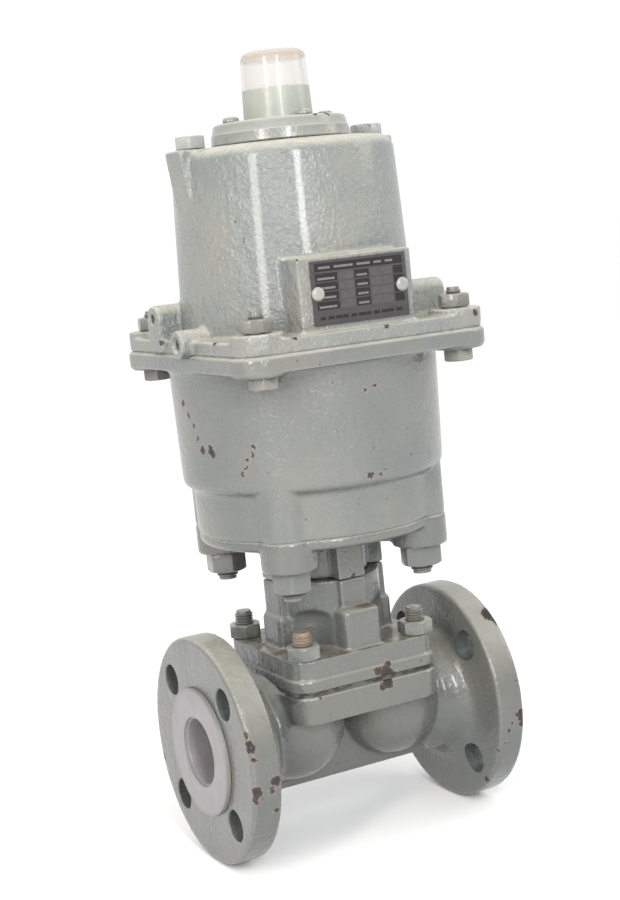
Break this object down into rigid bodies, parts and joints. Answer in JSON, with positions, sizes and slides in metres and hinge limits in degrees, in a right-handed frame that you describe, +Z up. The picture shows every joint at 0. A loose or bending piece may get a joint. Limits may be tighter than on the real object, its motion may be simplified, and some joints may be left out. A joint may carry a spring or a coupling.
{
  "type": "diaphragm valve",
  "caption": "Weir diaphragm valve with round pipe flanges, a lined body, and a spring-return air cylinder with a clear indicator dome on top.",
  "frame": {"origin": "on the stem axis, at the height of the lowest point of the pipe flanges", "axes": "+Z up along the stem to the indicator dome, +X along the pipe to the outlet flange, the name plate faces -Y"},
  "size_m": [0.195, 0.18, 0.484],
  "materials": {
    "enamel": "glossy enamel over a cast surface",
    "steel": "plain steel",
    "cast_iron": "machined and oiled",
    "rubber": "matte",
    "fluoropolymer": "satin white",
    "bronze": "turned",
    "acetal": "satin",
    "clear_plastic": "clear, lower half painted over",
    "red_paint": "gloss",
    "aluminium": "dark anodised"
  },
  "bodies": {
    "housing": {"valve_body": "enamel", "bonnet": "enamel", "yoke_plate": "enamel", "cylinder": "enamel", "spring_cover": "enamel", "top_cap": "enamel", "body_liner": "fluoropolymer", "diaphragm_facing": "fluoropolymer", "diaphragm_backing": "rubber", "stem_packing": "rubber", "casing_seal": "rubber", "bonnet_stud_1": "steel", "bonnet_stud_2": "steel", "bonnet_stud_3": "steel", "bonnet_stud_4": "steel", "bonnet_nut_1": "steel", "bonnet_nut_2": "steel", "bonnet_nut_3": "steel", "bonnet_nut_4": "steel", "cylinder_stud_1": "steel", "cylinder_stud_2": "steel", "cylinder_stud_3": "steel", "cylinder_stud_4": "steel", "cylinder_nut_1": "steel", "cylinder_nut_2": "steel", "cylinder_nut_3": "steel", "cylinder_nut_4": "steel", "flange_bolt_1": "steel", "flange_bolt_2": "steel", "flange_bolt_3": "steel", "flange_bolt_4": "steel", "flange_nut_1": "steel", "flange_nut_2": "steel", "flange_nut_3": "steel", "flange_nut_4": "steel", "cap_screw_1": "steel", "cap_screw_2": "steel", "cap_screw_3": "steel", "cap_screw_4": "steel", "cover_bolt_1": "steel", "cover_bolt_2": "steel", "plate_rivet_1": "steel", "plate_rivet_2": "steel", "outer_spring": "cast_iron", "inner_spring": "cast_iron", "stem_bush": "bronze", "indicator_dome": "clear_plastic", "name_plate": "aluminium"},
    "stem_assembly": {"stem": "steel", "compressor": "cast_iron", "compressor_pin": "steel", "diaphragm_stud": "steel", "piston": "cast_iron", "piston_packing": "rubber", "piston_wear_ring": "acetal", "piston_nut": "steel", "indicator_rod": "steel", "indicator_knob": "red_paint"}
  },
  "joints": [
    {"name": "stem_lift", "type": "slide", "parent": "housing", "child": "stem_assembly", "axis": [0, 0, 1], "range_m": [0, 0.018], "stiffness_N_per_m": 8000, "springref_m": -0.01, "deforming": ["outer_spring", "inner_spring", "diaphragm_facing", "diaphragm_backing"]}
  ]
}
